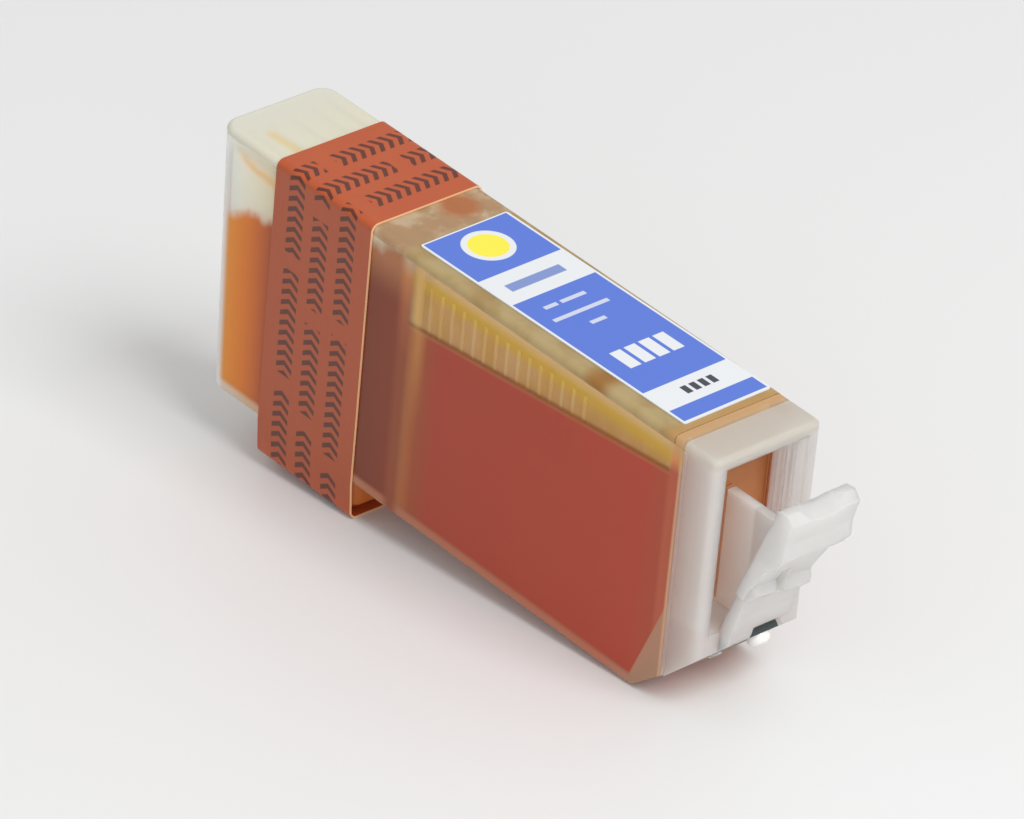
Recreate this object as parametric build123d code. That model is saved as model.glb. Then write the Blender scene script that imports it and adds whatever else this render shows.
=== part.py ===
from build123d import *
import os
from math import atan2, cos, degrees, radians, sin, tan

# Inkjet ink cartridge with a sponge chamber behind, an ink chamber in front and a latch lever.
# Sizes are in millimetres. +X runs from the rear to the lever, +Y across and +Z up.
# The pieces are drawn from the rear face (x = 0) and the underside of the case (z = 0).
# They are then set in the part's own frame: the origin is on the outlet's axis, in the plane of
# the lowest face, which is the tape under the transport cap.

# Case
body_length = 80.0  # rear face to the front of the lever frame
body_width = 14.8
body_height = 32.7  # underside to the top of the lid
wall = 1.3
floor_thickness = 1.0
rear_draft = 1.2  # how far the rear face leans in at its foot
rear_corner = 2.0  # rounding of the rear upright edges
foot_edge = 0.7  # rounding of the edges of the underside
nose_run = 5.0  # slanted nose of the tank, along X
nose_rise = 4.2  # the same, along Z
fit_gap = 0.1  # between pieces that slip into each other
glue_gap = 0.03  # between pieces that are stuck or welded together

# Front frame around the lever's pocket
pocket_depth = 5.6
frame_length = 4.3  # front part of the case that is narrower than the tank
frame_step = 0.1  # how much each side steps in there
frame_wall = 1.6
frame_roof = 1.4
frame_corner = 0.8
frame_edge = 0.6
frame_foot = 4.0  # height of the frame's foot above the underside
sill_height = 10.7  # top of the solid foot below the pocket
rib_count = 3  # upright ribs on each inner side of the pocket
rib_pitch = 1.3
rib_width = 0.5
rib_depth = 0.35

# Chambers
end_wall = 1.0  # between the ink chamber and the pocket
partition_place = 31.2  # rear face of the case to the rear face of the partition
partition_thickness = 1.5
port_height = 3.0  # opening at the foot of the partition
port_inset = 1.2
corner_prism_run = 2.9  # clear corner block at the front of the ink chamber
corner_prism_rise = 7.3
level_prism_place = 9.0  # sensing prism on the floor, back from the end wall
level_prism_width = 5.0
air_groove_count = 4  # upright grooves in the partition that let air into the ink chamber
air_groove_width = 0.5
air_groove_depth = 0.4
air_groove_height = 9.0
flute_count = 15  # upright flutes in the side walls of the ink chamber
flute_pitch = 1.75
flute_width = 0.35
flute_depth = 0.25
flute_start = 2.1  # from the partition to the first flute
flute_headroom = 2.2  # from the rim down to the flutes
flute_length = 10.0

# Lid
lid_thickness = 1.0
lid_edge = 0.7  # rounding of the lid's long edges
skirt_depth = 2.0
skirt_thickness = 0.8
hold_down_count = 3  # ribs that press on the sponge
hold_down_thickness = 0.8
fill_hole_radius = 1.6
fill_hole_place = 12.0  # ahead of the partition
fill_seat_radius = 2.4
fill_seat_depth = 0.45
vent_radius = 0.5
vent_groove_width = 0.55
vent_groove_depth = 0.35
vent_turns = 5
vent_pitch = 1.5
vent_span = 5.0
vent_tail = 2.0  # straight end of the groove

# Sponge and ink
lower_sponge_share = 0.717  # of the height of both absorbers
sponge_headroom = 2.4  # from the rim down to the sponge
ink_headroom = 6.9  # from the rim down to the ink, at the middle of its chamber

# Outlet under the sponge chamber
outlet_place = 17.9  # rear face to the outlet's axis
outlet_length = 11.4
outlet_side_gap = 3.3  # from each side of the case to the outlet
outlet_wall = 1.1
outlet_drop = 2.2

# Transport cap, its seal and the tape round them
cap_length = 14.6
cap_inset = 0.3  # from each side of the case to the cap
cap_wall = 1.0
cap_floor = 1.0
cap_drop = 4.2  # underside of the case to the underside of the cap
cap_top_gap = 0.2
cap_corner = 2.0
cap_edge = 0.8
tape_width = 15.8
tape_thickness = 0.2
tape_gap = 0.05
tape_lap = 9.0  # length of the overlapped end
tape_lap_place = 6.0  # height of the end above the underside

# Label
label_length = 41.3
label_side_gap = 1.35
label_thickness = 0.15
label_start = 31.4  # rear face to the label
label_offset = 0.5  # towards the far side
label_skew = 0.7  # degrees
label_corner = 0.3

# Latch lever. Lengths run up its back face from the root, depths out from that face.
lever_lean = 20.7  # degrees from upright
lever_root_x = -0.6  # from the front of the frame
lever_root_z = 10.1
lever_length = 21.6
lever_buried = 2.2  # part of the lever inside the foot
lever_root_depth = 1.85
lever_neck_depth = 1.4
lever_blade_depth = 1.15
lever_neck_width = 8.3
lever_head_width = 9.3
catch_at = 7.7
catch_depth = 0.85
catch_rise = 1.3
catch_slant = 12.0  # degrees
head_at = 12.9  # where the finger head starts to swell
head_depth = 3.4
head_peak = 16.4
tip_depth = 2.4
tip_round = 0.6
scallop_radius = 5.0
scallop_depth = 1.0
slot_width = 1.3
slot_low = 6.9
slot_high = 11.0

# Stop fin behind the lever
fin_thickness = 1.1
fin_headroom = 8.2  # from the top of the case down to the fin
fin_gap = 1.3  # to the back of the lever

# Chip on the slanted foot of the frame
board_length = 5.6  # along the slope
board_width = 7.2
board_thickness = 0.8
board_recess = 0.8
board_rise = 1.2  # how far it sits towards the front edge
stake_radius = 0.5
stake_head_radius = 0.8
stake_head_height = 0.25
stake_inset = 0.8
pad_columns = 4
pad_pitch = 1.7
pad_length = 1.0
pad_width = 1.1
pad_gap = 0.3
pad_margin = 0.3
stake_rise = 0.6  # stakes, from the middle of the slope towards the front edge
lip_window = 0.9  # the seat's front lip is open from here, on the near side, to the far side
pad_thickness = 0.05
capsule_size = 3.0
capsule_height = 0.8
lamp_radius = 1.3
lamp_height = 1.1
lamp_dome_share = 0.8  # of the lamp's height that is rounded over
lamp_offset = 1.7  # towards the far side
lamp_inset = 1.4  # from the board's front edge

# Places that follow from the sizes above
rim = body_height - lid_thickness
half_width = body_width / 2
inner_width = body_width - 2 * wall
flute_high = rim - flute_headroom
flute_low = flute_high - flute_length
sponge_top = rim - sponge_headroom
sponge_split = floor_thickness + lower_sponge_share * (sponge_top - floor_thickness)
ink_level = rim - ink_headroom
fin_top = body_height - fin_headroom
outlet_breadth = body_width - 2 * outlet_side_gap
cap_breadth = body_width - 2 * cap_inset
label_width = body_width - 2 * label_side_gap
tank_length = body_length - frame_length
pocket_back = body_length - pocket_depth
end_face = pocket_back - end_wall
partition_front = partition_place + partition_thickness
lid_length = end_face + end_wall / 4
frame_width = body_width - 2 * frame_step
pocket_width = frame_width - 2 * frame_wall
frame_front_foot = frame_foot + frame_length  # the frame's foot rises at 45 degrees
base_drop = cap_drop + tape_gap + tape_thickness
tape_front = outlet_place + tape_width / 2
nose_corner = tank_length - nose_run
rest_tilt = atan2(base_drop, nose_corner - tape_front)  # lean of the case on a table, in radians
ink_middle = (partition_front + end_face) / 2
slope_middle = Vector(tank_length + frame_length / 2, 0, frame_foot + frame_length / 2)
chip_plane = Plane(origin=slope_middle, x_dir=(1, 0, 1), z_dir=(1, 0, -1))
lever_plane = Plane(
    origin=(body_length + lever_root_x, 0, lever_root_z),
    x_dir=(sin(radians(lever_lean)), 0, cos(radians(lever_lean))),
    z_dir=(0, 1, 0),
)


def outline_face(points, radius=0.0):
    """Flat face inside a closed outline, with its corners rounded where a radius is given."""
    line = FilletPolyline(*points, radius=radius, close=True) if radius else Polyline(*points, close=True)
    return make_face(line)


def side_solid(points, width, radius=0.0, plane=Plane.XZ):
    """Solid with a side outline, as wide as given and centred across the case."""
    return extrude(plane * outline_face(points, radius), width / 2, both=True)


def block(x_low, x_high, width, z_low, z_high, y_middle=0.0):
    """Box between two stations along X and two heights, centred on y_middle."""
    box = Box(x_high - x_low, width, z_high - z_low)
    return Pos((x_low + x_high) / 2, y_middle, (z_low + z_high) / 2) * box


def rounded_block(x_low, x_high, width, z_low, z_high, radius):
    """Box with rounded upright edges."""
    plan = RectangleRounded(x_high - x_low, width, radius)
    return Pos((x_low + x_high) / 2, 0, z_low) * extrude(plan, z_high - z_low)


def rear_lean(z):
    """How far the rear face stands in at a height above the underside."""
    return rear_draft * (1 - z / body_height)


def rear_chamber_side(gap, z_low, z_high):
    """Side outline of the sponge chamber, drawn in by a gap all round."""
    back_low = rear_lean(z_low) + wall + gap
    back_high = rear_lean(z_high) + wall + gap
    front = partition_place - gap
    return [(back_low, z_low), (front, z_low), (front, z_high), (back_high, z_high)]


def ink_surface(x):
    """Height of the ink above the underside when the cartridge leans on its nose."""
    return ink_level + (x - ink_middle) * tan(rest_tilt)


def case_blank():
    """Outside of the case: the tank with its slanted nose, and the narrower front frame."""
    tank_side = [
        (rear_lean(rim), rim),
        (rear_lean(0), 0),
        (nose_corner, 0),
        (tank_length, nose_rise),
        (tank_length, rim),
    ]
    tank = side_solid(tank_side, body_width)
    uprights = [e for e in tank.edges() if e.center().X < rear_draft and abs(e.center().Y) > half_width / 2]
    tank = fillet(uprights, rear_corner)
    tank = fillet([e for e in tank.edges() if e.center().Z < foot_edge / 10], foot_edge)
    frame_side = [
        (end_face, rim),
        (end_face, nose_rise + 1),
        (tank_length, frame_foot),
        (body_length, frame_front_foot),
        (body_length, body_height),
        (lid_length + fit_gap, body_height),
        (lid_length + fit_gap, rim),
    ]
    frame = side_solid(frame_side, frame_width)
    front = [e for e in frame.edges() if e.center().X > body_length - 0.01 and abs(e.center().Y) > 1]
    frame = fillet(front, frame_corner)
    roof = [e for e in frame.edges() if e.center().Z > body_height - 0.01 and e.center().X > tank_length]
    frame = fillet(roof, frame_edge)
    return tank + frame


def side_flutes():
    """Upright flutes to cut into both side walls of the ink chamber."""
    flutes = []
    for side in (-1, 1):
        y_middle = side * (inner_width / 2 + flute_depth / 2 - fit_gap / 2)
        for i in range(flute_count):
            x = partition_front + flute_start + i * flute_pitch
            flutes.append(
                block(x, x + flute_width, flute_depth + fit_gap, flute_low, flute_high, y_middle)
            )
    return flutes


def level_prism(gap=0.0):
    """Roof-shaped prism on the floor of the ink chamber, through which the printer sees the level."""
    middle = end_face - level_prism_place
    half = level_prism_width / 2 + 2 * gap
    foot = floor_thickness - gap
    side = [(middle - half, foot), (middle + half, foot), (middle, foot + half)]
    return side_solid(side, inner_width * 0.6 + 2 * gap)


def ink_chamber(gap, top):
    """Space of the ink chamber, drawn in by a gap, with a given height at its two ends."""
    foot = floor_thickness + gap
    back = partition_front + gap
    front = end_face - gap
    side = [
        (back, foot),
        (front - corner_prism_run, foot),
        (front, floor_thickness + corner_prism_rise),
        (front, top(front)),
        (back, top(back)),
    ]
    return side_solid(side, inner_width - 2 * gap)


def chambers():
    """Sponge chamber, ink chamber and the way between them."""
    rear = side_solid(rear_chamber_side(0, floor_thickness, body_height), inner_width)
    deep = [e for e in rear.edges() if e.center().X < rear_draft + wall + 0.1 and abs(e.center().Y) > 1]
    rear = fillet(deep, rear_corner - wall)
    front = ink_chamber(0, lambda x: body_height)
    port = block(
        partition_place - 0.1,
        partition_front + 0.1,
        inner_width - 2 * port_inset,
        floor_thickness,
        floor_thickness + port_height,
    )
    cuts = [rear, front, port]
    for i in range(air_groove_count):
        y = (i - (air_groove_count - 1) / 2) * inner_width / (air_groove_count + 1)
        low = floor_thickness + port_height - 0.1
        high = floor_thickness + port_height + air_groove_height
        depth = air_groove_depth
        cuts.append(block(partition_place - 0.1, partition_place + depth, air_groove_width, low, high, y))
    return cuts


def pocket_ribs():
    """Upright ribs on the inner sides of the pocket."""
    ribs = []
    for side in (-1, 1):
        y_middle = side * (pocket_width / 2 - rib_depth / 2 + 0.05)
        for i in range(rib_count):
            x = pocket_back + rib_pitch * (i + 0.7)
            ribs.append(
                block(
                    x,
                    x + rib_width,
                    rib_depth + 0.1,
                    sill_height - 0.1,
                    body_height - frame_roof + 0.1,
                    y_middle,
                )
            )
    return ribs


def stop_fin():
    """Upright fin between the end wall and the lever, which limits how far the lever gives."""
    lean = tan(radians(lever_lean))
    back_x = body_length + lever_root_x - fin_gap / cos(radians(lever_lean))
    low = sill_height - 0.2
    side = [
        (pocket_back - 0.2, low),
        (back_x + (low - lever_root_z) * lean, low),
        (back_x + (fin_top - lever_root_z) * lean, fin_top),
        (pocket_back - 0.2, fin_top),
    ]
    return side_solid(side, fin_thickness)


def latch_lever():
    """Springy lever with a catch across its front and a finger head at the top."""
    root = sill_height - lever_root_z
    profile = [
        (-lever_buried, 0),
        (lever_length - tip_round, 0),
        (lever_length, tip_depth / 2),
        (lever_length - tip_round, tip_depth),
        (head_peak + 1.8, tip_depth + 0.3),
        (head_peak, head_depth),
        (head_peak - 1.6, head_depth - 0.45),
        (head_at, lever_blade_depth + 0.75),
        (head_at - 4.2, lever_blade_depth),
        (catch_at - 3.9, lever_neck_depth),
        (root, lever_root_depth),
        (-lever_buried, lever_root_depth),
    ]
    half_neck = lever_neck_width / 2
    half_head = lever_head_width / 2
    front_view = [
        (-4, -half_neck),
        (catch_at - 1.0, -half_neck),
        (catch_at - 0.2, -half_head),
        (lever_length + 1, -half_head),
        (lever_length + 1, half_head),
        (catch_at - 0.2, half_head),
        (catch_at - 1.0, half_neck),
        (-4, half_neck),
    ]
    blade = side_solid(profile, lever_head_width, radius=0.25, plane=lever_plane)
    blade = blade + lever_catch()
    front_plane = Plane(lever_plane.origin, x_dir=lever_plane.x_dir, z_dir=lever_plane.y_dir)
    shape = extrude(front_plane * outline_face(front_view, radius=0.35), head_depth * 2, both=True)
    across = front_plane * Pos(lever_length + scallop_radius - scallop_depth, 0, 0)
    scallop = across * Cylinder(scallop_radius, head_depth * 4)
    slot_face = SlotOverall(slot_high - slot_low, slot_width)
    slot = extrude(front_plane * Pos((slot_low + slot_high) / 2, 0, 0) * slot_face, head_depth, both=True)
    under_slope = chip_plane * Pos(0, 0, body_width / 2) * Box(lever_length, body_width * 2, body_width)
    return (blade & shape) - scallop - slot - under_slope


def lever_catch():
    """Wedge across the lever that snaps into the carriage."""
    catch_side = [
        (catch_at - 3.4, 0.5),
        (catch_at, lever_blade_depth + catch_depth),
        (catch_at + catch_rise, lever_blade_depth - 0.1),
        (catch_at + catch_rise, 0.5),
    ]
    slanted = lever_plane * Rot(0, -catch_slant, 0)
    return side_solid(catch_side, lever_head_width + 2, plane=Plane(slanted))


def chip_seat():
    """Recess for the board in the slanted foot, with room for the resin blob and a window in front."""
    recess = Box(board_length + 2 * fit_gap, board_width + 2 * fit_gap, 2 * board_recess)
    blob_room = Box(
        capsule_size + 4 * fit_gap, capsule_size + 4 * fit_gap, 2 * (capsule_height + 2 * fit_gap)
    )
    seat = chip_plane * Pos(board_rise, 0, 0) * recess
    room = chip_plane * Pos(board_rise, 0, -board_recess) * blob_room
    window_width = lip_window + body_width / 2
    window = Box(board_length, window_width, 2 * board_recess)
    lip = board_rise + board_length / 2
    window = chip_plane * Pos(lip + board_length / 2, lip_window - window_width / 2, 0) * window
    return [seat, room, window]


def stake_places():
    """Centres of the two board stakes, along and across the slope."""
    across = board_width / 2 - stake_inset
    return [(stake_rise, -across), (stake_rise, across)]


def board_stakes():
    """Pegs through the board with mushroom heads, melted over when the board is fitted."""
    stakes = []
    board_top = board_thickness - board_recess
    for along, across in stake_places():
        shank_low = -board_recess - 0.2
        shank = Cylinder(stake_radius, board_top + stake_head_height / 2 - shank_low)
        shank = Pos(along, across, (board_top + stake_head_height / 2 + shank_low) / 2) * shank
        head = Cylinder(stake_head_radius, stake_head_height)
        head = fillet(head.edges().group_by(Axis.Z)[-1], stake_head_height * 0.8)
        head = Pos(along, across, board_top + glue_gap + stake_head_height / 2) * head
        stakes.append(chip_plane * (shank + head))
    return stakes


def outlet_tube(inset, z_low, z_high):
    """Rounded upright block on the outlet's axis, its outline drawn in by an inset."""
    length = outlet_length - 2 * inset
    breadth = outlet_breadth - 2 * inset
    plan = RectangleRounded(length, breadth, breadth / 2 - 0.4)
    return Pos(outlet_place, 0, z_low) * extrude(plan, z_high - z_low)


def make_tank_body():
    """The one-piece moulding."""
    body = case_blank()
    for cut in chambers() + side_flutes():
        body -= cut
    body -= block(
        pocket_back, body_length + 5, pocket_width, sill_height, body_height - frame_roof
    )
    body += level_prism()
    for rib in pocket_ribs():
        body += rib
    body += stop_fin()
    body += latch_lever()
    for cut in chip_seat():
        body -= cut
    for stake in board_stakes():
        body += stake
    body += outlet_tube(0, -outlet_drop, floor_thickness / 2)
    body -= outlet_tube(outlet_wall, -outlet_drop - 1, floor_thickness + 1)
    return body


def lid_plan(inset):
    """Outline of the lid seen from above."""
    length = lid_length - rear_lean(rim) - 2 * inset
    plan = Rectangle(length, body_width - 2 * inset)
    rear = plan.vertices().sort_by(Axis.X)[:2]
    plan = fillet(rear, rear_corner - inset)
    return Pos(rear_lean(rim) + inset + length / 2, 0, 0) * plan


def skirt_ring(x_low, x_high):
    """Ring under the lid that locates it in one chamber."""
    width = inner_width - 2 * fit_gap
    outer = rounded_block(x_low, x_high, width, rim - skirt_depth, rim + 0.1, rear_corner - wall)
    inner = block(
        x_low + skirt_thickness,
        x_high - skirt_thickness,
        width - 2 * skirt_thickness,
        rim - skirt_depth - 1,
        rim,
    )
    return outer - inner


def hold_down_ribs():
    """Ribs under the lid that keep the sponge down."""
    ribs = []
    x_low = rear_lean(rim) + wall + skirt_thickness
    x_high = partition_place - skirt_thickness
    for i in range(hold_down_count):
        y = (i - (hold_down_count - 1) / 2) * inner_width / (hold_down_count + 1)
        ribs.append(block(x_low, x_high, hold_down_thickness, sponge_top + fit_gap, rim + 0.1, y))
    return ribs


def vent_path():
    """Folded groove in the lid's top, from the vent hole to its end, all under the tape."""
    cuts = []
    z_low = body_height - vent_groove_depth
    z_high = body_height + 1
    start = outlet_place - vent_turns * vent_pitch / 2
    for i in range(vent_turns):
        x = start + i * vent_pitch
        half = vent_groove_width / 2
        cuts.append(block(x - half, x + half, vent_span, z_low, z_high))
        if i < vent_turns - 1:
            side = 1 if i % 2 else -1
            y = side * (vent_span / 2 - half)
            cuts.append(block(x - half, x + vent_pitch + half, vent_groove_width, z_low, z_high, y))
    last = start + (vent_turns - 1) * vent_pitch
    cuts.append(block(last, last + vent_tail, vent_groove_width, z_low, z_high))
    hole = Cylinder(vent_radius, lid_thickness * 3)
    cuts.append(Pos(start, vent_span / 2 - vent_radius, body_height) * hole)
    return cuts


def make_top_lid():
    """Welded lid with its skirts, ribs, filling hole and vent groove."""
    plate = Pos(0, 0, rim + glue_gap) * extrude(lid_plan(0), lid_thickness - glue_gap)
    front = lid_length - 0.01
    top = [e for e in plate.edges() if e.center().Z > body_height - 0.01 and e.center().X < front]
    plate = fillet(top, lid_edge)
    lid = plate + skirt_ring(rear_lean(rim) + wall + fit_gap, partition_place - fit_gap)
    lid += skirt_ring(partition_front + fit_gap, end_face - fit_gap)
    for rib in hold_down_ribs():
        lid += rib
    x = partition_front + fill_hole_place
    lid -= Pos(x, 0, body_height) * Cylinder(fill_hole_radius, 4 * lid_thickness)
    lid -= Pos(x, 0, body_height) * Cylinder(fill_seat_radius, 2 * fill_seat_depth)
    for cut in vent_path():
        lid -= cut
    return lid


def make_fill_plug():
    """Soft plug with a flat head, sunk in the filling hole."""
    head_height = fill_seat_depth - fit_gap
    head = Cylinder(fill_seat_radius - fit_gap, head_height)
    shank_height = lid_thickness + 0.8
    shank = Cone(fill_hole_radius - 2 * fit_gap, fill_hole_radius - fit_gap / 2, shank_height)
    top = body_height - fit_gap / 2
    plug = Pos(0, 0, top - head_height / 2) * head
    plug += Pos(0, 0, top - head_height / 2 - shank_height / 2) * shank
    return Pos(partition_front + fill_hole_place, 0, 0) * plug


def make_sponge(z_low, z_high):
    """Absorber block that fills the sponge chamber between two heights."""
    sponge = side_solid(rear_chamber_side(fit_gap, z_low, z_high), inner_width - 2 * fit_gap)
    deep = [e for e in sponge.edges() if e.center().X < rear_draft + wall + 0.3 and abs(e.center().Y) > 1]
    return fillet(deep, rear_corner - wall)


def make_ink_fill():
    """The ink, with a level surface at the pose in which the cartridge rests."""
    return ink_chamber(fit_gap, ink_surface) - level_prism(fit_gap)


def make_outlet_felt():
    """Felt pad that carries ink from the sponge to the print head."""
    felt = outlet_tube(outlet_wall + fit_gap, -outlet_drop + 0.3, floor_thickness)
    return felt


def make_transport_cap():
    """Shallow cap over the outlet."""
    low = -cap_drop
    high = -cap_top_gap
    x_low = outlet_place - cap_length / 2
    x_high = outlet_place + cap_length / 2
    cap = rounded_block(x_low, x_high, cap_breadth, low, high, cap_corner)
    cap = chamfer(cap.edges().group_by(Axis.Z)[0], cap_edge)
    cap -= rounded_block(
        x_low + cap_wall,
        x_high - cap_wall,
        cap_breadth - 2 * cap_wall,
        low + cap_floor,
        high + 1,
        cap_corner - cap_wall,
    )
    return cap


def make_cap_seal():
    """Soft pad in the cap that closes the outlet."""
    low = -cap_drop + cap_floor
    return outlet_tube(-0.5, low + glue_gap, -outlet_drop - glue_gap)


def make_pull_tape():
    """Tape round the case and the cap, with its end lapped on the far side."""
    side_y = half_width + tape_gap
    cap_y = cap_breadth / 2 + tape_gap
    top = body_height + tape_gap
    low = -cap_drop - tape_gap
    corners = [(-side_y, top), (-side_y, 0), (-cap_y, low), (cap_y, low), (side_y, 0), (side_y, top)]
    rounds = [lid_edge + tape_gap, 3.0, cap_edge, cap_edge, 3.0, lid_edge + tape_gap]
    inner = make_face(FilletPolyline(*corners, radius=rounds, close=True))
    outer = offset(inner, amount=tape_thickness)
    band = extrude(Plane.YZ * (outer - inner), tape_width / 2, both=True)
    lap = Box(tape_width, tape_thickness, tape_lap)
    lap = Pos(0, side_y + 1.5 * tape_thickness, tape_lap_place + tape_lap / 2) * lap
    return Pos(outlet_place, 0, 0) * (band + lap)


def make_top_label():
    """Printed label on the lid, stuck on slightly askew."""
    plan = RectangleRounded(label_length, label_width, label_corner)
    label = Rot(0, 0, label_skew) * extrude(plan, label_thickness)
    return Pos(label_start + label_length / 2, label_offset, body_height + glue_gap) * label


def make_chip_board():
    """Circuit board on its two stakes."""
    board = Pos(board_rise, 0, board_thickness / 2 - board_recess + glue_gap / 2) * Box(
        board_length, board_width, board_thickness - glue_gap
    )
    for along, across in stake_places():
        board -= Pos(along, across, 0) * Cylinder(stake_radius + fit_gap / 2, 4 * board_thickness)
    return chip_plane * board


def make_chip_contacts():
    """Gold contact pads in two rows on the outside of the board."""
    pads = []
    height = board_thickness - board_recess + pad_thickness / 2
    for row in range(2):
        along = board_rise - board_length / 2 + pad_margin + pad_length / 2 + row * (pad_length + pad_gap)
        columns = pad_columns - 2 * row
        for i in range(columns):
            across = (i - (columns - 1) / 2) * pad_pitch
            pads.append(chip_plane * Pos(along, across, height) * Box(pad_length, pad_width, pad_thickness))
    return Compound(children=pads)


def make_chip_capsule():
    """Resin blob over the chip, on the back of the board."""
    blob = Box(capsule_size, capsule_size, capsule_height)
    blob = fillet(blob.edges().filter_by(Axis.Z), capsule_size / 4)
    blob = chamfer(blob.edges().group_by(Axis.Z)[0], capsule_height / 3)
    return chip_plane * Pos(board_rise, 0, -board_recess - capsule_height / 2) * blob


def make_chip_led():
    """Lamp with a domed top near the front edge of the board."""
    lamp = Cylinder(lamp_radius, lamp_height)
    lamp = fillet(lamp.edges().group_by(Axis.Z)[-1], lamp_height * lamp_dome_share)
    along = board_rise + board_length / 2 - lamp_inset
    base = board_thickness - board_recess
    return chip_plane * Pos(along, -lamp_offset, base + lamp_height / 2) * lamp


def export_parts():
    """Write each piece to its own file, in the part's frame."""
    os.makedirs("parts", exist_ok=True)
    pieces = {
        "tank_body": make_tank_body(),
        "top_lid": make_top_lid(),
        "fill_plug": make_fill_plug(),
        "sponge_lower": make_sponge(floor_thickness + fit_gap, sponge_split),
        "sponge_upper": make_sponge(sponge_split, sponge_top),
        "ink_fill": make_ink_fill(),
        "outlet_felt": make_outlet_felt(),
        "cap_seal": make_cap_seal(),
        "transport_cap": make_transport_cap(),
        "pull_tape": make_pull_tape(),
        "top_label": make_top_label(),
        "chip_board": make_chip_board(),
        "chip_contacts": make_chip_contacts(),
        "chip_capsule": make_chip_capsule(),
        "chip_led": make_chip_led(),
    }
    for name, piece in pieces.items():
        export_step(Pos(-outlet_place, 0, base_drop) * piece, f"parts/{name}.step")
    print("rest tilt", round(degrees(rest_tilt), 2))


export_parts()
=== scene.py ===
import bpy
from math import atan2, cos, radians, sin
from mathutils import Matrix, Vector

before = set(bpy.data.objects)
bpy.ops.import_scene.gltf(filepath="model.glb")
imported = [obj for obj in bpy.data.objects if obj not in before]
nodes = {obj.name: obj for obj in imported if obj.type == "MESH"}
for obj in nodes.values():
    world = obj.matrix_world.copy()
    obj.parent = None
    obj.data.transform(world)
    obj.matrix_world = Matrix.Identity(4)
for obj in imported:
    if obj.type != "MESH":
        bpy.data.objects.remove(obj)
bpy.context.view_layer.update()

# Lengths below are in millimetres in case coordinates: X from the rear face, Y across and Z from
# the underside of the case. The part's own frame, in metres, has its origin on the outlet's axis
# and BASE_DROP below the underside, under the taped cap.
OUTLET = 17.9
BASE_DROP = 4.45
MM = 0.001

# Places on the case that the materials and the floor refer to
INNER_HALF = 6.1
POCKET_HALF = 6.2
FLOOR_TOP = 1.0
RIM = 31.7
TOP = 32.7
REAR_DRAFT = 1.2
PARTITION_REAR = 31.2
PARTITION_FRONT = 32.7
END_FACE = 73.4
POCKET_BACK = 74.4
SILL_TOP = 10.7
FRAME_FRONT = 80.0
CORNER_BLOCK = (70.5, 8.3)
NOSE_CORNER = 70.7

# The part rests on the taped cap and the nose, so that the ink's level surface is tilted in the case.
TAPE_FRONT = 25.8
INK_LEVEL = 24.8
INK_MIDDLE = 53.05
REST_SLOPE = BASE_DROP / (NOSE_CORNER - TAPE_FRONT)
REST_TILT = atan2(BASE_DROP, NOSE_CORNER - TAPE_FRONT)

# The sponge's wet edge: its height at the rear face, its rise per millimetre and its ripple
WET_EDGE = 19.9
WET_CLIMB = 0.34
WET_RIPPLE = 4.0

# How far the ink has crept up its walls, as their outer faces and their inner faces show it
CREEP_OUTSIDE = 1.3
CREEP_INSIDE = 0.7

# The stained streak near the rear's upper edge: its height, its ripple and its fall per millimetre
STREAK_HEIGHT = 30.3
STREAK_RIPPLE = 1.0
STREAK_FALL = 0.14

# Rows of chevrons on the tape: place across it, length of a word with its gap, and where it starts
CHEVRON_ROWS = ((-4.3, 15.2, 1.0), (-0.2, 13.3, 4.0), (4.1, 17.1, 7.0))
CHEVRON_PITCH = 1.3
CHEVRON_SLANT = 0.55
TAPE_EDGE = 7.78

# Label: where it starts, its size, its turn on the lid, how far it sits from the middle, its white
# margins at the rear end, front end and sides, and the dot and its ring
LABEL_START = 31.4
LABEL_LENGTH = 41.3
LABEL_WIDTH = 12.1
LABEL_TURN = radians(0.7)
LABEL_SHIFT = 0.5
LABEL_MARGINS = (0.2, 0.35, 0.28)
DOT_PLACE = (35.5, 0.2)
DOT_RADIUS = 2.2
RING_RADIUS = 2.9

# Frosted plastic: roughness of the surface, how far light scatters in the frame as shares of a
# length in metres, and the height of the soft unevenness in metres
CASE_ROUGHNESS = 0.16
FRAME_ROUGHNESS = 0.3
FRAME_SCATTER = (1.0, 0.92, 0.88)
FRAME_SCATTER_LENGTH = 0.004
UNEVENNESS = 0.00001

# The table reaches far enough out to have no edge in any view.
FLOOR_HALF = 4.0

# Light: strength of the sky, and for each lamp its place and size in metres and its power in watts
SKY = 0.62
LAMP_AIM = (0.02, 0, 0.01)
KEY_LAMP = ((0.75, -0.02, 1.0), 0.6, 10)
SIDE_LAMP = ((1.0, -0.95, 0.5), 0.8, 3.5)

# The photograph's camera, from a fit to the case, the tape and the label
CAMERA_AZIMUTH = radians(46.407)
CAMERA_ELEVATION = radians(32.797)
CAMERA_ROLL = radians(5.44)
CAMERA_AIM = (40, 0, 17)
CAMERA_DISTANCE = 879.79
CAMERA_SHIFT = (0.959, -1.805)
FOCAL_PIXELS = 8330
PHOTO_PIXELS = 1024
SENSOR = 36


def srgb(r, g, b):
    """A colour given in 0 to 255 as linear numbers, with alpha."""
    def one(v):
        v = v / 255
        return v / 12.92 if v <= 0.04045 else ((v + 0.055) / 1.055) ** 2.4
    return (one(r), one(g), one(b), 1.0)


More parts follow.
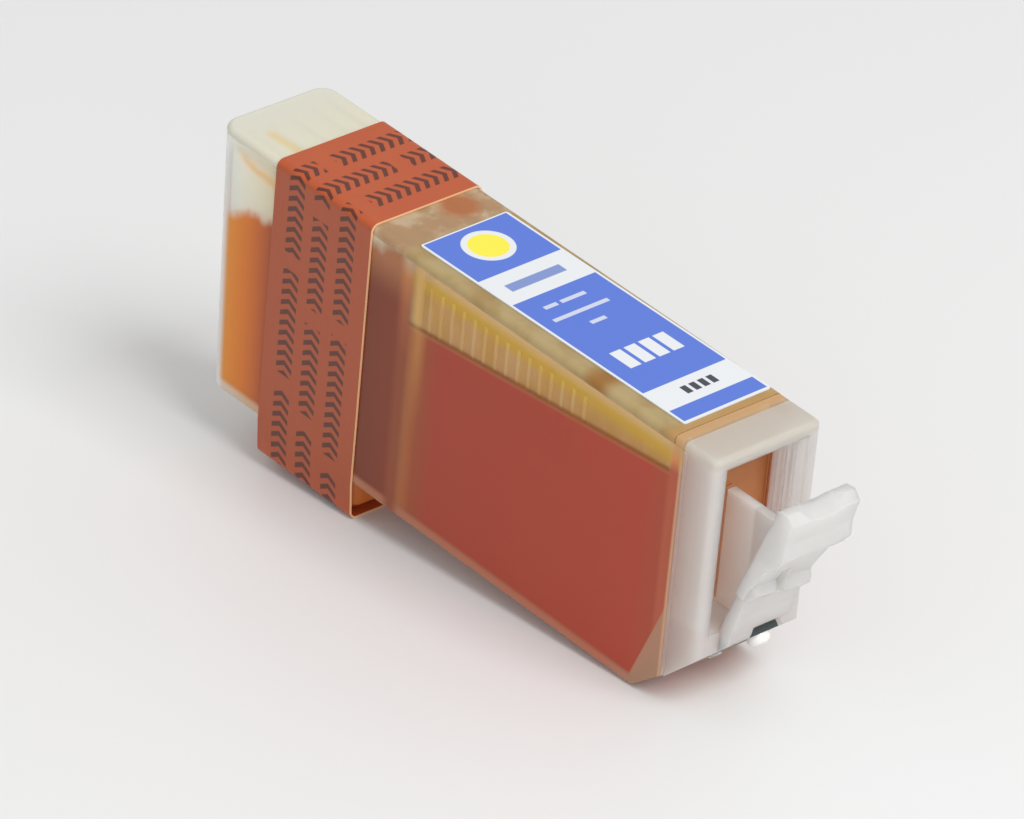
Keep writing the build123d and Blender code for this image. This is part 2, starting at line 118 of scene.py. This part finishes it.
# Shades along the case, each a place and the colour there. SOAKED runs over the distance from the
# rear face, SPLIT and FRONT run over Z and the others over X.
SOAKED = (
    (1.3, srgb(240, 180, 98)),
    (2.7, srgb(244, 160, 62)),
    (5.5, srgb(234, 140, 54)),
    (9.0, srgb(200, 104, 58)),
    (25.0, srgb(146, 74, 52)),
    (31.2, srgb(158, 78, 52)),
)
DRY = ((2.0, srgb(253, 252, 246)), (10.0, srgb(250, 240, 212)))
LIQUID = (
    (PARTITION_FRONT, srgb(202, 128, 76)),
    (35.0, srgb(180, 94, 58)),
    (38.0, srgb(192, 81, 58)),
    (70.0, srgb(198, 82, 58)),
    (END_FACE, srgb(192, 92, 62)),
)
BASE_EDGE = (
    (0.0, srgb(240, 234, 226)),
    (8.0, srgb(232, 196, 160)),
    (28.0, srgb(200, 132, 100)),
    (66.0, srgb(212, 132, 102)),
    (NOSE_CORNER, srgb(204, 148, 122)),
)
MILKY = (
    (POCKET_BACK + 0.8, srgb(204, 186, 178)),
    (77.0, srgb(214, 202, 195)),
    (FRAME_FRONT - 0.3, srgb(226, 222, 218)),
    (FRAME_FRONT + 1.0, srgb(230, 229, 226)),
)
FIN = ((75.0, srgb(236, 224, 214)), (FRAME_FRONT, srgb(252, 250, 246)))
DRY_LID = ((2.0, srgb(214, 212, 198)), (10.0, srgb(219, 215, 194)))
SPLIT = (
    (20.0, srgb(172, 94, 62)),
    (26.0, srgb(196, 118, 78)),
    (29.5, srgb(222, 146, 88)),
    (RIM, srgb(224, 196, 160)),
)
FRONT = (
    (28.5, srgb(194, 100, 72)),
    (30.0, srgb(222, 150, 92)),
    (RIM, srgb(210, 170, 122)),
)


class Mat:
    """A node material with short calls for the few nodes that it needs."""

    def __init__(self, name, **sockets):
        self.m = bpy.data.materials.new(name)
        self.m.use_nodes = True
        self.t = self.m.node_tree
        self.bsdf = self.t.nodes["Principled BSDF"]
        for key, value in sockets.items():
            self.put(key.replace("_", " "), value)
        self.xyz = None

    def put(self, socket, value):
        """A constant or a link on the shader's own socket."""
        target = self.bsdf.inputs[socket]
        if isinstance(value, bpy.types.NodeSocket):
            self.t.links.new(value, target)
        else:
            target.default_value = value

    def node(self, kind, **settings):
        n = self.t.nodes.new(kind)
        for key, value in settings.items():
            setattr(n, key, value)
        return n

    def feed(self, n, index, value):
        """A constant or a link on one of a node's sockets; None leaves the socket as it is."""
        if value is None:
            return
        if isinstance(value, bpy.types.NodeSocket):
            self.t.links.new(value, n.inputs[index])
        else:
            n.inputs[index].default_value = value

    def math(self, op, a, b=None, c=None):
        n = self.node("ShaderNodeMath", operation=op)
        for i, value in enumerate((a, b, c)):
            self.feed(n, i, value)
        return n.outputs[0]

    def place(self):
        """Case coordinates in millimetres: x, y and z sockets and the three as a vector socket."""
        if self.xyz is None:
            tex = self.node("ShaderNodeTexCoord")
            scale = self.node("ShaderNodeVectorMath", operation="MULTIPLY_ADD")
            self.feed(scale, 0, tex.outputs["Object"])
            self.feed(scale, 1, (1000, 1000, 1000))
            self.feed(scale, 2, (OUTLET, 0, -BASE_DROP))
            split = self.node("ShaderNodeSeparateXYZ")
            self.feed(split, 0, scale.outputs[0])
            self.xyz = (*split.outputs, scale.outputs[0])
        return self.xyz

    def off_middle(self):
        """Distance from the middle plane, as a socket."""
        return self.math("ABSOLUTE", self.place()[1])

    def stretched(self, sx, sy, sz):
        """The case coordinates, each multiplied."""
        n = self.node("ShaderNodeVectorMath", operation="MULTIPLY")
        self.feed(n, 0, self.place()[3])
        self.feed(n, 1, (sx, sy, sz))
        return n.outputs[0]

    def noise(self, scale, detail, stretch=(1, 1, 1), rough=0.5):
        n = self.node("ShaderNodeTexNoise")
        self.feed(n, "Vector", self.stretched(*stretch))
        self.feed(n, "Scale", scale)
        self.feed(n, "Detail", detail)
        self.feed(n, "Roughness", rough)
        return n.outputs[0]

    def ramp(self, value, low, high, out_low=0.0, out_high=1.0):
        """Smooth step from one number to another as value goes from low to high."""
        n = self.node("ShaderNodeMapRange", interpolation_type="SMOOTHSTEP")
        for i, v in enumerate((value, low, high, out_low, out_high)):
            self.feed(n, i, v)
        return n.outputs[0]

    def fade(self, value, low, high):
        """Smooth step from 1 down to 0 as value goes from low to high."""
        return self.ramp(value, low, high, 1.0, 0.0)

    def window(self, value, low, high, soft=0.1):
        """1 between low and high, 0 outside."""
        return self.times(
            self.ramp(value, low - soft, low + soft), self.fade(value, high - soft, high + soft)
        )

    def mix(self, factor, a, b):
        """Colour a where the factor is 0 and b where it is 1."""
        n = self.node("ShaderNodeMix", data_type="RGBA")
        self.feed(n, 0, factor)
        self.feed(n, 6, a)
        self.feed(n, 7, b)
        return n.outputs[2]

    def lerp(self, factor, a, b):
        """Number a where the factor is 0 and b where it is 1."""
        n = self.node("ShaderNodeMix", data_type="FLOAT")
        self.feed(n, 0, factor)
        self.feed(n, 2, a)
        self.feed(n, 3, b)
        return n.outputs[0]

    def shades(self, value, *stops):
        """A colour that passes through the stops, each a value and its colour."""
        low, high = stops[0][0], stops[-1][0]
        share = self.node("ShaderNodeMapRange")
        for i, v in enumerate((value, low, high, 0.0, 1.0)):
            self.feed(share, i, v)
        n = self.node("ShaderNodeValToRGB")
        self.feed(n, 0, share.outputs[0])
        ramp = n.color_ramp.elements
        for at, colour in stops[1:-1]:
            ramp.new((at - low) / (high - low)).color = colour
        ramp[0].color = stops[0][1]
        ramp[len(ramp) - 1].color = stops[-1][1]
        return n.outputs[0]

    def radius(self, across, along):
        """Distance from the point where both values are 0."""
        squares = self.math(
            "ADD", self.math("MULTIPLY", across, across), self.math("MULTIPLY", along, along)
        )
        return self.math("SQRT", squares)

    def times(self, *values):
        out = values[0]
        for v in values[1:]:
            out = self.math("MULTIPLY", out, v)
        return out

    def either(self, *masks):
        """The largest of some masks."""
        out = masks[0]
        for mask in masks[1:]:
            out = self.math("MAXIMUM", out, mask)
        return out

    def level_above(self, height):
        """The surface's normal, but straight up on the flat face that lies above a height."""
        face = self.node("ShaderNodeNewGeometry")
        n = self.node("ShaderNodeMix", data_type="VECTOR")
        self.feed(n, 0, self.ramp(self.place()[2], height - 0.005, height))
        self.feed(n, 4, face.outputs["Normal"])
        self.feed(n, 5, (0, 0, 1))
        return n.outputs[1]

    def bump(self, height, distance, strength, normal=None):
        n = self.node("ShaderNodeBump")
        self.feed(n, "Normal", normal)
        self.feed(n, "Strength", strength)
        self.feed(n, "Distance", distance)
        self.feed(n, "Height", height)
        self.t.links.new(n.outputs[0], self.bsdf.inputs["Normal"])


def paint(name, material):
    obj = nodes[name]
    obj.data.materials.clear()
    obj.data.materials.append(material.m)


def ink_surface(m):
    """Height of the ink's surface over X, as a socket."""
    x = m.place()[0]
    return m.math("MULTIPLY_ADD", x, REST_SLOPE, INK_LEVEL - INK_MIDDLE * REST_SLOPE)


def from_rear(m):
    """Distance from the rear face, which leans in towards its foot, as a socket."""
    x, _, z, _ = m.place()
    return m.math("SUBTRACT", x, m.math("MULTIPLY_ADD", z, -REAR_DRAFT / TOP, REAR_DRAFT))


def sponge_colour(m, soft):
    """Foam colour: pale where dry, orange to brown where wet, and the mask of the wet part.

    The wet edge rises to the front, and soft is how much it is blurred.
    """
    x, _, z, _ = m.place()
    rippled = m.math("MULTIPLY_ADD", m.noise(0.35, 3, (1, 1, 0.4)), WET_RIPPLE, WET_EDGE)
    height = m.math("SUBTRACT", z, m.math("MULTIPLY_ADD", x, WET_CLIMB, rippled))
    wet = m.fade(height, -soft, soft)
    upper_front = m.times(m.ramp(x, 18.0, 26.0), m.ramp(z, 25.0, 31.0))
    soaked = m.mix(upper_front, m.shades(from_rear(m), *SOAKED), srgb(196, 134, 92))
    return m.mix(wet, m.shades(x, *DRY), soaked), wet


def flute_mask(m):
    """1 in the upright flutes of the ink chamber's side walls."""
    off = m.off_middle()
    return m.times(
        m.ramp(off, INNER_HALF + 0.05, INNER_HALF + 0.15),
        m.fade(off, INNER_HALF + 0.5, INNER_HALF + 0.6),
    )


def chamber_colour(m, soft, creep):
    """What coats the ink chamber's walls: ink, a dark line at its surface, then yellow foam.

    Also gives the mask of the part above the ink. The ink has crept up by creep on the walls.
    """
    x, _, z, _ = m.place()
    height = m.math("SUBTRACT", m.math("SUBTRACT", z, creep), ink_surface(m))
    in_flute = m.times(flute_mask(m), 0.8)
    # Painted glow: the ink beside the partition is painted lighter, standing in for light that comes
    # through the clear partition.
    painted_partition_glow = m.times(m.window(x, 33.4, 35.0, 0.9), m.ramp(z, 10.0, 27.0))
    liquid = m.mix(painted_partition_glow, m.shades(x, *LIQUID), srgb(212, 150, 84))
    liquid = m.mix(in_flute, liquid, srgb(128, 48, 40))
    cloud = m.noise(0.3, 3, (1, 1, 0.5), 0.6)
    foam = m.mix(m.ramp(cloud, 0.4, 0.6), srgb(238, 204, 150), srgb(234, 196, 118))
    foam = m.mix(m.ramp(z, 28.6, 29.8), foam, srgb(244, 212, 96))
    foam = m.mix(m.ramp(z, 30.3, 31.3), foam, srgb(252, 226, 182))
    foam = m.mix(in_flute, foam, srgb(252, 244, 226))
    foam = m.mix(m.window(height, -0.1, 0.5, 0.3), foam, srgb(190, 132, 44))
    over = m.ramp(height, -soft, soft)
    return m.mix(over, liquid, foam), over


def block_mask(m, soft):
    """1 over the clear block in the lower front corner of the ink chamber."""
    x, _, z, _ = m.place()
    corner_x, corner_z = CORNER_BLOCK
    rise = (corner_z - FLOOR_TOP) / (END_FACE - corner_x)
    top = m.math("MULTIPLY_ADD", x, rise, FLOOR_TOP - corner_x * rise)
    below_top = m.ramp(m.math("SUBTRACT", top, z), -soft, soft)
    return m.times(below_top, m.ramp(x, corner_x - 0.5, corner_x))


def streak_mask(m):
    """1 on the orange streak near the upper edge of the rear part."""
    x, _, z, _ = m.place()
    middle = m.math("MULTIPLY_ADD", m.noise(0.4, 2), STREAK_RIPPLE, STREAK_HEIGHT)
    off = m.math("ADD", m.math("SUBTRACT", z, middle), m.math("MULTIPLY", x, STREAK_FALL))
    return m.times(m.window(off, -0.5, 0.6, 0.6), m.window(x, 3.6, 12.0, 1.2))


def front_frame(m):
    """Colour and clearness of the milky front frame, and the mask of the pocket's sill."""
    x, y, z, _ = m.place()
    inside = m.times(m.fade(x, FRAME_FRONT - 0.7, FRAME_FRONT - 0.2), m.fade(z, 30.4, 31.0))
    far_wall = m.times(m.ramp(y, 3.0, 4.0), inside)
    fin = m.times(m.window(y, -3.0, 3.0), inside)
    on_sill = m.window(z, SILL_TOP - 0.3, SILL_TOP + 0.3, 0.2)
    sill = m.times(inside, on_sill, m.fade(m.off_middle(), POCKET_HALF - 0.2, POCKET_HALF))
    # Painted light: the pocket's far wall and its fin are painted whiter than the frame's milky
    # walls, standing in for light that comes through the frosted plastic into the pocket.
    colour = m.mix(far_wall, m.shades(x, *MILKY), srgb(250, 249, 247))
    colour = m.mix(fin, colour, m.shades(x, *FIN))
    colour = m.mix(m.ramp(z, RIM - 0.6, RIM + 0.4), colour, srgb(212, 207, 196))
    clear = m.lerp(fin, m.lerp(far_wall, 0.4, 0.3), 0.25)
    return colour, clear, sill


def shell_colour(m):
    """Colour and clearness of the outer faces, which take up the colour of what lies behind them.

    Also gives the mask of the front frame.
    """
    x, _, z, _ = m.place()
    rear_colour, wet = sponge_colour(m, 0.9)
    front_colour, over = chamber_colour(m, 0.5, CREEP_OUTSIDE)
    in_front = m.ramp(x, PARTITION_FRONT - 1.2, PARTITION_FRONT + 0.4)
    colour = m.mix(in_front, rear_colour, front_colour)
    clear = m.lerp(in_front, m.lerp(wet, 0.5, 0.4), m.lerp(over, 0.4, 0.75))
    pocket = m.times(
        m.window(x, POCKET_BACK, POCKET_BACK + 0.2, 0.05),
        m.fade(z, 30.8, 31.2),
        m.fade(m.off_middle(), POCKET_HALF - 0.2, POCKET_HALF),
    )
    joint = m.times(m.window(x, POCKET_BACK + 0.4, POCKET_BACK + 0.8, 0.2), m.fade(z, 29.5, RIM))
    frame_part = m.ramp(x, POCKET_BACK + 0.7, POCKET_BACK + 1.0)
    frame_colour, frame_clear, sill = front_frame(m)
    rear_corner = m.times(m.fade(from_rear(m), 1.3, 2.5), m.ramp(m.off_middle(), 5.0, 6.2))
    # Painted glow: beside the partition, near the ink's surface, the outer faces are painted lighter
    # and yellower, standing in for light through the clear partition.
    painted_partition_glow = m.times(m.window(x, 33.0, 34.3, 0.6), m.ramp(z, 23.5, 25.5))
    # Each zone lies over the ones before it: its mask, its colour and how much light it passes
    for mask, tint, passes in (
        (m.fade(z, FLOOR_TOP + 0.1, FLOOR_TOP + 0.9), m.shades(x, *BASE_EDGE), 0.35),
        (m.window(x, PARTITION_REAR - 0.2, PARTITION_FRONT, 0.8), m.shades(z, *SPLIT), 0.4),
        (m.window(x, END_FACE, POCKET_BACK + 0.5, 0.4), m.shades(z, *FRONT), 0.3),
        (painted_partition_glow, srgb(216, 172, 104), 0.2),
        (block_mask(m, 0.3), srgb(212, 168, 136), 0.5),
        (joint, srgb(236, 190, 150), 0.4),
        (m.times(streak_mask(m), 0.7), srgb(238, 186, 110), 0.3),
        (rear_corner, srgb(254, 253, 250), 0.3),
        (frame_part, frame_colour, frame_clear),
        # Painted light: the pocket's sill is painted near white, lighter than the frame's milky
        # colour, standing in for light that reaches into the pocket.
        (sill, srgb(246, 240, 234), 0.3),
        (pocket, srgb(214, 164, 104), 0.1),
        (m.ramp(x, FRAME_FRONT, FRAME_FRONT + 1.0), srgb(230, 229, 227), 0.4),
    ):
        colour = m.mix(mask, colour, tint)
        clear = m.lerp(mask, clear, passes)
    return colour, clear, frame_part


def inner_faces(m):
    """1 on the faces that line the sponge chamber and the ink chamber."""
    x, _, z, _ = m.place()
    return m.times(
        m.fade(m.off_middle(), INNER_HALF + 0.4, INNER_HALF + 0.5),
        m.ramp(from_rear(m), 0.9, 1.0),
        m.fade(x, END_FACE + 0.05, END_FACE + 0.15),
        m.ramp(z, FLOOR_TOP - 0.06, FLOOR_TOP - 0.02),
    )


def frosted_case():
    """Frosted clear moulding whose chambers are wetted by what they hold; its frame is milky."""
    m = Mat("frosted_moulding", IOR=1.3)
    x = m.place()[0]
    inner = inner_faces(m)
    in_front = m.ramp(x, PARTITION_FRONT - 0.7, PARTITION_FRONT - 0.5)
    rear_colour, wet = sponge_colour(m, 0.5)
    front_colour, over = chamber_colour(m, 0.15, CREEP_INSIDE)
    lining = m.mix(in_front, rear_colour, front_colour)
    lining_clear = m.lerp(in_front, m.lerp(wet, 0.8, 0.3), m.lerp(over, 0.1, 0.3))
    shell, shell_clear, frame_part = shell_colour(m)
    m.put("Base Color", m.mix(inner, shell, lining))
    m.put("Transmission Weight", m.lerp(inner, shell_clear, lining_clear))
    m.put("Roughness", m.lerp(frame_part, CASE_ROUGHNESS, FRAME_ROUGHNESS))
    m.put("Subsurface Weight", frame_part)
    m.put("Subsurface Radius", FRAME_SCATTER)
    m.put("Subsurface Scale", FRAME_SCATTER_LENGTH)
    m.bump(m.noise(1.4, 2), UNEVENNESS, 0.3)
    return m


def lid_plastic():
    """The lid, whose top shows what coats it beneath: foam at the front and stains by the tape."""
    m = Mat("frosted_lid", IOR=1.3, Roughness=0.4)
    x, y, z, _ = m.place()
    dry = m.shades(x, *DRY_LID)
    streak = m.window(m.math("ADD", y, m.math("MULTIPLY", x, -0.05)), -5.3, -4.2, 0.5)
    dry = m.mix(m.times(streak, m.ramp(x, 4.0, 5.5), 0.6), dry, srgb(222, 192, 124))
    stain = m.ramp(m.noise(0.22, 4, rough=0.6), 0.42, 0.58)
    by_tape = m.mix(stain, srgb(172, 138, 103), srgb(193, 170, 139))
    from_patch = m.radius(m.math("SUBTRACT", x, 27.5), m.math("SUBTRACT", y, 3.0))
    by_tape = m.mix(m.fade(from_patch, 1.3, 3.1), by_tape, srgb(175, 110, 68))
    foam = m.ramp(m.noise(0.18, 3), 0.4, 0.62)
    by_label = m.mix(foam, srgb(181, 160, 115), srgb(167, 139, 91))
    patch = m.times(m.window(x, 60.0, 63.0, 1.2), m.fade(y, -5.5, -5.0))
    by_label = m.mix(patch, by_label, srgb(156, 111, 57))
    by_label = m.mix(m.ramp(x, 71.5, 74.0), by_label, srgb(187, 146, 90))
    colour = m.mix(m.ramp(x, 12.0, 20.0), dry, by_tape)
    colour = m.mix(m.ramp(x, PARTITION_FRONT - 2.5, PARTITION_FRONT - 0.5), colour, by_label)
    beneath = m.fade(z, RIM + 0.05, RIM + 0.1)
    m.put("Base Color", colour)
    m.put("Transmission Weight", m.lerp(beneath, 0.15, m.lerp(m.ramp(x, 10.0, 26.0), 0.3, 0.1)))
    m.bump(m.noise(1.2, 2), UNEVENNESS, 0.3, m.level_above(TOP - 0.005))
    return m


def sponge():
    m = Mat("sponge_foam", Roughness=0.85, Subsurface_Weight=1.0, Subsurface_Scale=0.01)
    m.put("Base Color", sponge_colour(m, 0.5)[0])
    m.bump(m.noise(3.5, 4, rough=0.7), 0.0002, 0.6)
    return m


def ink():
    m = Mat("ink_liquid", Roughness=0.4, IOR=1.36, Specular_IOR_Level=0.1)
    m.put("Base Color", m.mix(m.noise(0.06, 2, (1, 1, 2)), srgb(188, 74, 46), srgb(194, 84, 54)))
    return m


def tape():
    """Orange film with rows of small chevrons in place of words."""
    m = Mat("orange_film", Roughness=0.4, IOR=1.5)
    x, y, z, _ = m.place()
    along = m.math("ADD", y, z)
    across = m.math("SUBTRACT", x, OUTLET)
    rows = []
    for middle, period, start in CHEVRON_ROWS:
        off = m.math("ABSOLUTE", m.math("SUBTRACT", across, middle))
        place = m.math("ADD", along, start)
        slanted = m.math("MULTIPLY_ADD", off, CHEVRON_SLANT, place)
        stroke = m.fade(m.math("PINGPONG", slanted, CHEVRON_PITCH / 2), 0.26, 0.36)
        word = m.ramp(m.math("PINGPONG", place, period / 2), 0.9, 1.1)
        rows.append(m.times(m.fade(off, 1.2, 1.35), word, stroke))
    film = m.mix(m.noise(0.25, 3), srgb(182, 84, 40), srgb(174, 75, 34))
    # Painted shade: the film is painted darker where it bends over onto the case's sides.
    film = m.mix(m.ramp(m.off_middle(), 7.3, 7.6), film, srgb(164, 74, 33))
    # Painted highlight: a thin cream line along the tape's front edge, where the film's cut edge
    # catches the light.
    edge = m.times(m.ramp(across, TAPE_EDGE, TAPE_EDGE + 0.08), 0.75)
    film = m.mix(edge, film, srgb(246, 200, 150))
    m.put("Base Color", m.mix(m.times(m.either(*rows), 0.88), film, srgb(70, 26, 14)))
    m.bump(m.noise(0.5, 2), 0.0002, 0.3)
    return m


def label():
    """Blue and white bands, a yellow dot in a white ring and plain bars in place of words."""
    m = Mat("label_print", Roughness=0.32, IOR=1.5, Coat_Weight=0.2)
    x, y, _, _ = m.place()
    blue, white = srgb(78, 112, 206), srgb(222, 225, 228)

    # u runs along the label from its rear end and v across it from its middle.
    dx = m.math("SUBTRACT", x, LABEL_START + LABEL_LENGTH / 2)
    dy = m.math("SUBTRACT", y, LABEL_SHIFT)
    turn_sin, turn_cos = sin(LABEL_TURN), cos(LABEL_TURN)
    u = m.math("MULTIPLY_ADD", dy, turn_sin, m.math("MULTIPLY", dx, turn_cos))
    v = m.math("MULTIPLY_ADD", dx, -turn_sin, m.math("MULTIPLY", dy, turn_cos))
    u = m.math("ADD", u, LABEL_LENGTH / 2)

    def bars(*places):
        """1 inside any of the bars, each from a low to a high u and from a low to a high v."""
        return m.either(*(
            m.times(m.window(u, u0, u1, 0.05), m.window(v, v0, v1, 0.05)) for u0, u1, v0, v1 in places
        ))

    bands = m.either(
        m.window(u, 0.217 * LABEL_LENGTH, 0.348 * LABEL_LENGTH, 0.03),
        m.window(u, 0.839 * LABEL_LENGTH, 0.936 * LABEL_LENGTH, 0.03),
    )
    colour = m.mix(bands, blue, white)
    dot_x, dot_y = DOT_PLACE
    from_dot = m.radius(m.math("SUBTRACT", x, dot_x), m.math("SUBTRACT", y, dot_y))
    colour = m.mix(m.fade(from_dot, RING_RADIUS, RING_RADIUS + 0.12), colour, white)
    colour = m.mix(m.fade(from_dot, DOT_RADIUS, DOT_RADIUS + 0.12), colour, srgb(240, 228, 60))
    thin = bars(
        (16.4, 17.0, -3.4, -1.6),
        (16.4, 17.0, -1.1, 2.3),
        (18.8, 19.4, -4.2, 3.4),
        (21.2, 21.8, -1.2, 0.9),
    )
    thick = bars(*((27.0, 30.4, v0, v0 + 1.5) for v0 in (-3.6, -1.6, 0.4, 2.4)))
    short = bars(*((35.9, 37.3, v0, v0 + 0.8) for v0 in (-1.9, -0.7, 0.5, 1.7)))
    colour = m.mix(m.times(thin, 0.75), colour, white)
    colour = m.mix(thick, colour, white)
    colour = m.mix(short, colour, srgb(52, 54, 70))
    colour = m.mix(bars((11.0, 12.4, -4.0, 3.6)), colour, srgb(120, 140, 196))
    rear, front, side = LABEL_MARGINS
    half = LABEL_WIDTH / 2
    printed = m.times(
        m.window(v, -half + side, half - side, 0.03), m.window(u, rear, LABEL_LENGTH - front, 0.03)
    )
    m.put("Base Color", m.mix(printed, white, colour))
    return m


def plain(name, colour_a, colour_b, scale, rough, **sockets):
    """A material of two close colours, mottled."""
    m = Mat(name, Roughness=rough, **sockets)
    m.put("Base Color", m.mix(m.noise(scale, 3), colour_a, colour_b))
    return m


def paint_all():
    foam = sponge()
    paint("tank_body", frosted_case())
    paint("top_lid", lid_plastic())
    paint("sponge_upper", foam)
    paint("sponge_lower", foam)
    paint("ink_fill", ink())
    paint("pull_tape", tape())
    paint("top_label", label())
    for name, material, colour_a, colour_b, scale, rough in (
        ("outlet_felt", "felt", srgb(150, 80, 40), srgb(120, 60, 30), 3, 0.9),
        ("transport_cap", "cap_orange", srgb(214, 120, 50), srgb(205, 110, 44), 1, 0.45),
        ("cap_seal", "seal_rubber", srgb(60, 60, 60), srgb(48, 48, 48), 2, 0.7),
        ("fill_plug", "plug_rubber", srgb(212, 208, 196), srgb(200, 196, 184), 2, 0.6),
        ("chip_board", "board_mask", srgb(58, 66, 68), srgb(44, 54, 54), 2, 0.4),
        ("chip_capsule", "resin_black", srgb(24, 24, 24), srgb(34, 34, 34), 3, 0.25),
        ("chip_led", "lamp_resin", srgb(238, 236, 232), srgb(228, 226, 222), 3, 0.2),
    ):
        paint(name, plain(material, colour_a, colour_b, scale, rough))
    gold = plain("gold_plate", srgb(226, 190, 110), srgb(210, 170, 90), 3, 0.3, Metallic=1.0)
    paint("chip_contacts", gold)
    nodes["top_lid"].visible_shadow = False  # the frosted lid passes light to what it covers


def add_floor():
    """Pale table on which the taped cap and the nose stand; it leans because the part stays level."""
    mesh = bpy.data.meshes.new("floor")
    contact = Vector(((TAPE_FRONT - OUTLET) * MM, 0, 0))
    corners = [(-1, -1), (1, -1), (1, 1), (-1, 1)]
    mesh.from_pydata([(FLOOR_HALF * a, FLOOR_HALF * b, 0) for a, b in corners], [], [(0, 1, 2, 3)])
    floor = bpy.data.objects.new("floor", mesh)
    floor.matrix_world = Matrix.Translation(contact) @ Matrix.Rotation(-REST_TILT, 4, "Y")
    bpy.context.scene.collection.objects.link(floor)
    m = Mat("floor_pale", Roughness=0.5)
    m.put("Base Color", (0.785, 0.787, 0.786, 1))
    mesh.materials.append(m.m)


def add_light(name, position, size, power):
    data = bpy.data.lights.new(name, "AREA")
    data.size = size
    data.energy = power
    lamp = bpy.data.objects.new(name, data)
    lamp.location = position
    aim = Vector(LAMP_AIM) - Vector(position)
    lamp.rotation_euler = aim.to_track_quat("-Z", "Y").to_euler()
    bpy.context.scene.collection.objects.link(lamp)
    return lamp


def pass_through(lamp, names):
    """Frosted walls pass this lamp's light to what they hold and to the far side of the pocket."""
    walls = bpy.data.collections.new("frosted_walls")
    for name in names:
        walls.objects.link(nodes[name])
    lamp.light_linking.blocker_collection = walls
    for item in walls.collection_objects:
        item.light_linking.link_state = "EXCLUDE"


def add_world():
    world = bpy.data.worlds.new("studio")
    bpy.context.scene.world = world
    world.use_nodes = True
    background = world.node_tree.nodes["Background"]
    background.inputs["Color"].default_value = (1, 1, 1, 1)
    background.inputs["Strength"].default_value = SKY


def add_camera():
    """The camera, turned about its aim and then shifted right and up in its own plane."""
    level = cos(CAMERA_ELEVATION)
    back = Vector((
        sin(CAMERA_AZIMUTH) * level, -cos(CAMERA_AZIMUTH) * level, sin(CAMERA_ELEVATION)
    ))
    right = (-back).cross(Vector((0, 0, 1))).normalized()
    up = right.cross(-back)
    right_rolled = cos(CAMERA_ROLL) * right + sin(CAMERA_ROLL) * up
    up_rolled = -sin(CAMERA_ROLL) * right + cos(CAMERA_ROLL) * up
    aim = Vector(CAMERA_AIM) + Vector((-OUTLET, 0, BASE_DROP))
    to_right, to_top = CAMERA_SHIFT
    position = aim + back * CAMERA_DISTANCE + right_rolled * to_right + up_rolled * to_top
    data = bpy.data.cameras.new("camera")
    data.sensor_width = SENSOR
    data.sensor_fit = "HORIZONTAL"
    data.lens = FOCAL_PIXELS * SENSOR / PHOTO_PIXELS
    data.clip_start = 0.01
    data.clip_end = 20
    camera = bpy.data.objects.new("camera", data)
    axes = Matrix((right_rolled, up_rolled, back)).transposed().to_4x4()
    camera.matrix_world = Matrix.Translation(position * MM) @ axes
    bpy.context.scene.collection.objects.link(camera)
    bpy.context.scene.camera = camera


paint_all()
add_floor()
add_world()
add_light("key", *KEY_LAMP)
pass_through(add_light("fill", *SIDE_LAMP), ("tank_body", "top_lid"))
add_camera()
bpy.context.scene.view_settings.view_transform = "Standard"
